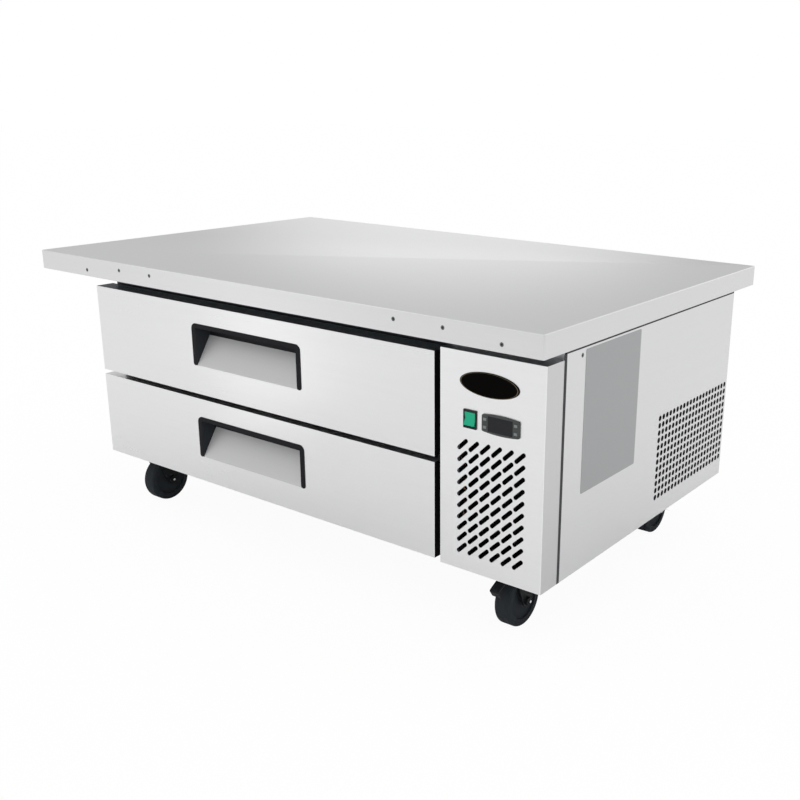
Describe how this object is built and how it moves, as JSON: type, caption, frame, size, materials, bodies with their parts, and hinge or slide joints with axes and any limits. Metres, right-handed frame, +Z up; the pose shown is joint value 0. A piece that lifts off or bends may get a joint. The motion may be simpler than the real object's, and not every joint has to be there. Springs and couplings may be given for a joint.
{
  "type": "refrigerated chef base",
  "caption": "Low refrigerated chef base: overhanging steel worktop, full-width cold drawers with recessed pulls, slotted machine side with controls, swivel casters.",
  "frame": {"origin": "on the floor, under the middle of the worktop", "axes": "+X to the right seen from the front, +Y to the back, +Z up; the drawers open to -Y"},
  "size_m": [1.331, 0.838, 0.56],
  "materials": {
    "worktop_steel": "brushed stainless, along X",
    "front_steel": "fine brushed stainless",
    "side_steel": "fine brushed stainless",
    "scoop_steel": "brushed stainless",
    "galvanised_steel": "zinc-coated sheet",
    "liner_steel": "smooth stainless",
    "slide_steel": "bright zinc",
    "board": "bonded board",
    "foam": "rigid foam",
    "black_plastic": "fine texture",
    "gasket_rubber": "soft",
    "badge_gloss": "polished black, pale gold edge line",
    "controller_grey": "silver grey",
    "window_dark": "smoked",
    "key_grey": "satin",
    "rocker_green": "translucent green",
    "coil_aluminium": "fins on copper tube",
    "compressor_black": "satin black",
    "copper": "drawn copper",
    "motor_grey": "satin",
    "fan_plastic": "moulded",
    "pan_plastic": "moulded",
    "screw_steel": "bright",
    "caster_black": "satin black",
    "caster_tyre": "moulded"
  },
  "bodies": {
    "cabinet": {"worktop_skin": "worktop_steel", "worktop_core": "board", "base_plate": "galvanised_steel", "cabinet_casing": "side_steel", "cabinet_insulation": "foam", "cabinet_liner": "liner_steel", "breaker_frame": "black_plastic", "slide_rails": "slide_steel", "machine_frame": "galvanised_steel", "grille_panel": "front_steel", "side_panel": "side_steel", "rear_panel": "galvanised_steel", "cord_gland": "black_plastic", "fixing_screws": "screw_steel", "badge_plate": "badge_gloss", "switch_housing": "black_plastic", "controller_housing": "controller_grey", "controller_window": "window_dark", "evaporator_coil": "coil_aluminium", "evaporator_cover": "liner_steel", "condenser_coil": "coil_aluminium", "condenser_shroud": "galvanised_steel", "fan_motors": "motor_grey", "compressor": "compressor_black", "pipework": "copper", "condensate_pan": "pan_plastic", "caster_plates": "caster_black"},
    "upper_drawer": {"upper_drawer_skin": "front_steel", "upper_drawer_foam": "foam", "upper_drawer_liner": "liner_steel", "upper_drawer_gasket": "gasket_rubber", "upper_handle_frame": "black_plastic", "upper_handle_scoop": "scoop_steel", "upper_pan_frame": "liner_steel"},
    "upper_middles": {"upper_slide_middles": "slide_steel"},
    "lower_drawer": {"lower_drawer_skin": "front_steel", "lower_drawer_foam": "foam", "lower_drawer_liner": "liner_steel", "lower_drawer_gasket": "gasket_rubber", "lower_handle_frame": "black_plastic", "lower_handle_scoop": "scoop_steel", "lower_pan_frame": "liner_steel"},
    "lower_middles": {"lower_slide_middles": "slide_steel"},
    "switch_rocker": {"switch_rocker": "rocker_green"},
    "controller_key_set": {"controller_key_set": "key_grey"},
    "controller_key_light": {"controller_key_light": "key_grey"},
    "controller_key_up": {"controller_key_up": "key_grey"},
    "controller_key_down": {"controller_key_down": "key_grey"},
    "condenser_fan": {"condenser_fan_blade": "fan_plastic"},
    "evaporator_fan": {"evaporator_fan_blade": "fan_plastic"},
    "caster_front_left": {"caster_fork_front_left": "caster_black"},
    "wheel_front_left": {"caster_wheel_front_left": "caster_tyre"},
    "caster_front_right": {"caster_fork_front_right": "caster_black"},
    "wheel_front_right": {"caster_wheel_front_right": "caster_tyre"},
    "caster_rear_left": {"caster_fork_rear_left": "caster_black"},
    "wheel_rear_left": {"caster_wheel_rear_left": "caster_tyre"},
    "caster_rear_right": {"caster_fork_rear_right": "caster_black"},
    "wheel_rear_right": {"caster_wheel_rear_right": "caster_tyre"},
    "brake_front_right": {"brake_pedal_front_right": "caster_black"}
  },
  "joints": [
    {"name": "upper_drawer_slide", "type": "slide", "parent": "cabinet", "child": "upper_drawer", "axis": [0, -1, 0], "range_m": [0, 0.53]},
    {"name": "upper_middle_slide", "type": "slide", "parent": "cabinet", "child": "upper_middles", "axis": [0, -1, 0], "range_m": [0, 0.265]},
    {"name": "lower_drawer_slide", "type": "slide", "parent": "cabinet", "child": "lower_drawer", "axis": [0, -1, 0], "range_m": [0, 0.53]},
    {"name": "lower_middle_slide", "type": "slide", "parent": "cabinet", "child": "lower_middles", "axis": [0, -1, 0], "range_m": [0, 0.265]},
    {"name": "switch_rock", "type": "hinge", "parent": "cabinet", "child": "switch_rocker", "pos_m": [0.5193, -0.4052, 0.3946], "axis": [1, 0, 0], "range_deg": [0, 16]},
    {"name": "controller_key_set_press", "type": "slide", "parent": "cabinet", "child": "controller_key_set", "axis": [0, 1, 0], "range_m": [0, 0.0008], "stiffness_N_per_m": 400, "springref_m": -0.001},
    {"name": "controller_key_light_press", "type": "slide", "parent": "cabinet", "child": "controller_key_light", "axis": [0, 1, 0], "range_m": [0, 0.0008], "stiffness_N_per_m": 400, "springref_m": -0.001},
    {"name": "controller_key_up_press", "type": "slide", "parent": "cabinet", "child": "controller_key_up", "axis": [0, 1, 0], "range_m": [0, 0.0008], "stiffness_N_per_m": 400, "springref_m": -0.001},
    {"name": "controller_key_down_press", "type": "slide", "parent": "cabinet", "child": "controller_key_down", "axis": [0, 1, 0], "range_m": [0, 0.0008], "stiffness_N_per_m": 400, "springref_m": -0.001},
    {"name": "condenser_fan_spin", "type": "hinge", "parent": "cabinet", "child": "condenser_fan", "pos_m": [0.55415, -0.271, 0.2395], "axis": [0, 1, 0], "continuous": true},
    {"name": "evaporator_fan_spin", "type": "hinge", "parent": "cabinet", "child": "evaporator_fan", "pos_m": [0.2602, -0.13, 0.34173], "axis": [1, 0, 0], "continuous": true},
    {"name": "caster_front_left_swivel", "type": "hinge", "parent": "cabinet", "child": "caster_front_left", "pos_m": [-0.4118, -0.29, 0.1067], "axis": [0, 0, 1], "continuous": true},
    {"name": "caster_front_left_roll", "type": "hinge", "parent": "caster_front_left", "child": "wheel_front_left", "pos_m": [-0.4118, -0.326, 0.05], "axis": [1, 0, 0], "continuous": true},
    {"name": "caster_front_right_swivel", "type": "hinge", "parent": "cabinet", "child": "caster_front_right", "pos_m": [0.5665, -0.29, 0.1067], "axis": [0, 0, 1], "continuous": true},
    {"name": "caster_front_right_roll", "type": "hinge", "parent": "caster_front_right", "child": "wheel_front_right", "pos_m": [0.5665, -0.326, 0.05], "axis": [1, 0, 0], "continuous": true},
    {"name": "caster_rear_left_swivel", "type": "hinge", "parent": "cabinet", "child": "caster_rear_left", "pos_m": [-0.4118, 0.225, 0.1067], "axis": [0, 0, 1], "continuous": true},
    {"name": "caster_rear_left_roll", "type": "hinge", "parent": "caster_rear_left", "child": "wheel_rear_left", "pos_m": [-0.4118, 0.189, 0.05], "axis": [1, 0, 0], "continuous": true},
    {"name": "caster_rear_right_swivel", "type": "hinge", "parent": "cabinet", "child": "caster_rear_right", "pos_m": [0.5665, 0.225, 0.1067], "axis": [0, 0, 1], "continuous": true},
    {"name": "caster_rear_right_roll", "type": "hinge", "parent": "caster_rear_right", "child": "wheel_rear_right", "pos_m": [0.5665, 0.189, 0.05], "axis": [1, 0, 0], "continuous": true},
    {"name": "brake_front_right_press", "type": "hinge", "parent": "caster_front_right", "child": "brake_front_right", "pos_m": [0.5665, -0.322, 0.108], "axis": [1, 0, 0], "range_deg": [0, 12]}
  ],
  "couplings": [
    {"joint": "upper_middle_slide", "follows": "upper_drawer_slide", "ratio": 0.5},
    {"joint": "lower_middle_slide", "follows": "lower_drawer_slide", "ratio": 0.5}
  ]
}
